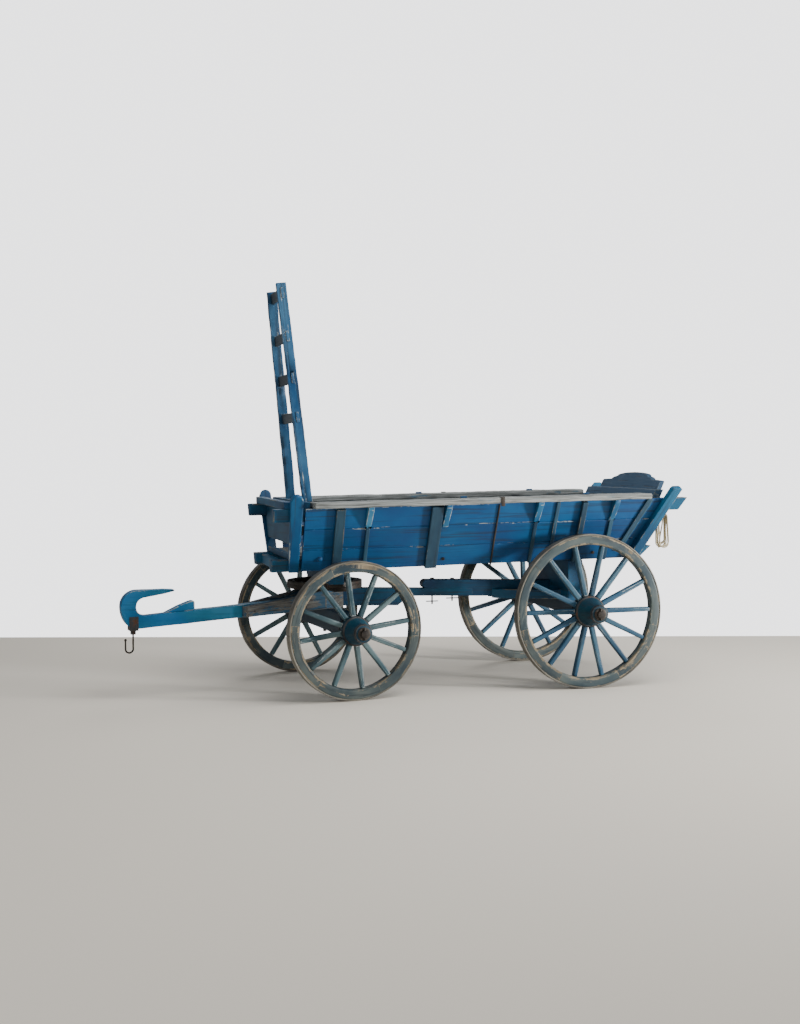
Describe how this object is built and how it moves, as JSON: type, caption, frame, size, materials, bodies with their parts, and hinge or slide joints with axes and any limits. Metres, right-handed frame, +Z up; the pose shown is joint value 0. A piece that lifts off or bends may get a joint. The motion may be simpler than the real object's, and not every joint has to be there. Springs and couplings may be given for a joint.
{
  "type": "four-wheeled farm wagon",
  "caption": "Blue-painted wooden farm wagon with a flared plank body, a turning fore-carriage, a hooked steering pole, spoked wheels and a hay ladder.",
  "frame": {"origin": "on the ground, below the middle of the bounding box", "axes": "+X towards the rear of the wagon, +Y to its right side, +Z up; the pole points to -X"},
  "size_m": [4.0305, 1.74, 2.8577],
  "materials": {
    "blue_wood": "worn blue paint over wood, matte",
    "wheel_paint": "faded blue-green paint over wood, matte",
    "weathered_wood": "bare weathered grey wood with remains of blue",
    "iron": "wrought iron, dark with rust",
    "tyre_iron": "wrought iron hoop, worn and dusty",
    "rope": "dry hemp fibre"
  },
  "bodies": {
    "wagon": {"rear_axle_bed": "blue_wood", "rear_axle_iron": "iron", "rear_linchpins": "iron", "front_bolster": "blue_wood", "rear_bolster": "blue_wood", "turntable_upper": "iron", "kingpin": "iron", "reach_front": "blue_wood", "reach_rear": "blue_wood", "reach_bolts": "iron", "hounds": "blue_wood", "lower_beams": "blue_wood", "upper_beams": "blue_wood", "floor_boards": "weathered_wood", "left_side_boards": "blue_wood", "right_side_boards": "blue_wood", "side_ribs": "blue_wood", "plank_brackets": "blue_wood", "top_planks": "weathered_wood", "corner_posts": "blue_wood", "front_board": "blue_wood", "front_crossbars": "blue_wood", "ladder_staples": "iron", "rear_stiles": "blue_wood", "tail_guides": "blue_wood", "box_ironwork": "iron", "rope_hank": "rope"},
    "fore_carriage": {"front_axle_bed": "blue_wood", "front_axle_iron": "iron", "front_linchpins": "iron", "futchells": "blue_wood", "turntable_lower": "iron", "pole": "blue_wood", "pole_cleat": "blue_wood", "pole_ironwork": "iron"},
    "left_front_wheel": {"left_front_nave": "wheel_paint", "left_front_bands": "iron", "left_front_spokes": "wheel_paint", "left_front_felloes": "wheel_paint", "left_front_tyre": "tyre_iron"},
    "right_front_wheel": {"right_front_nave": "wheel_paint", "right_front_bands": "iron", "right_front_spokes": "wheel_paint", "right_front_felloes": "wheel_paint", "right_front_tyre": "tyre_iron"},
    "left_rear_wheel": {"left_rear_nave": "wheel_paint", "left_rear_bands": "iron", "left_rear_spokes": "wheel_paint", "left_rear_felloes": "wheel_paint", "left_rear_tyre": "tyre_iron"},
    "right_rear_wheel": {"right_rear_nave": "wheel_paint", "right_rear_bands": "iron", "right_rear_spokes": "wheel_paint", "right_rear_felloes": "wheel_paint", "right_rear_tyre": "tyre_iron"},
    "draft_hook": {"draft_hook": "iron"},
    "tailboard": {"tailboard": "weathered_wood"},
    "ladder": {"ladder_stiles": "blue_wood", "ladder_rungs": "blue_wood"}
  },
  "joints": [
    {"name": "steer", "type": "hinge", "parent": "wagon", "child": "fore_carriage", "pos_m": [-0.56267, 0, 0.7], "axis": [0, 0, 1], "range_deg": [-31.6, 18.4]},
    {"name": "left_front_spin", "type": "hinge", "parent": "fore_carriage", "child": "left_front_wheel", "pos_m": [-0.48911, -0.63576, 0.474], "axis": [-0.1149, 0.9934, 0], "continuous": true},
    {"name": "right_front_spin", "type": "hinge", "parent": "fore_carriage", "child": "right_front_wheel", "pos_m": [-0.63623, 0.63576, 0.474], "axis": [-0.1149, 0.9934, 0], "continuous": true},
    {"name": "left_rear_spin", "type": "hinge", "parent": "wagon", "child": "left_rear_wheel", "pos_m": [1.21533, -0.64, 0.55], "axis": [0, 1, 0], "continuous": true},
    {"name": "right_rear_spin", "type": "hinge", "parent": "wagon", "child": "right_rear_wheel", "pos_m": [1.21533, 0.64, 0.55], "axis": [0, 1, 0], "continuous": true},
    {"name": "hook_swing", "type": "hinge", "parent": "fore_carriage", "child": "draft_hook", "pos_m": [-1.93154, -0.15838, 0.4523], "axis": [-0.1149, 0.9934, 0], "range_deg": [-70, 70]},
    {"name": "ladder_lift", "type": "slide", "parent": "wagon", "child": "ladder", "axis": [-0.1028, 0, 0.9947], "range_m": [0, 0.15]},
    {"name": "tailboard_lift", "type": "slide", "parent": "wagon", "child": "tailboard", "axis": [0.4067, 0, 0.9135], "range_m": [0, 0.45]}
  ]
}
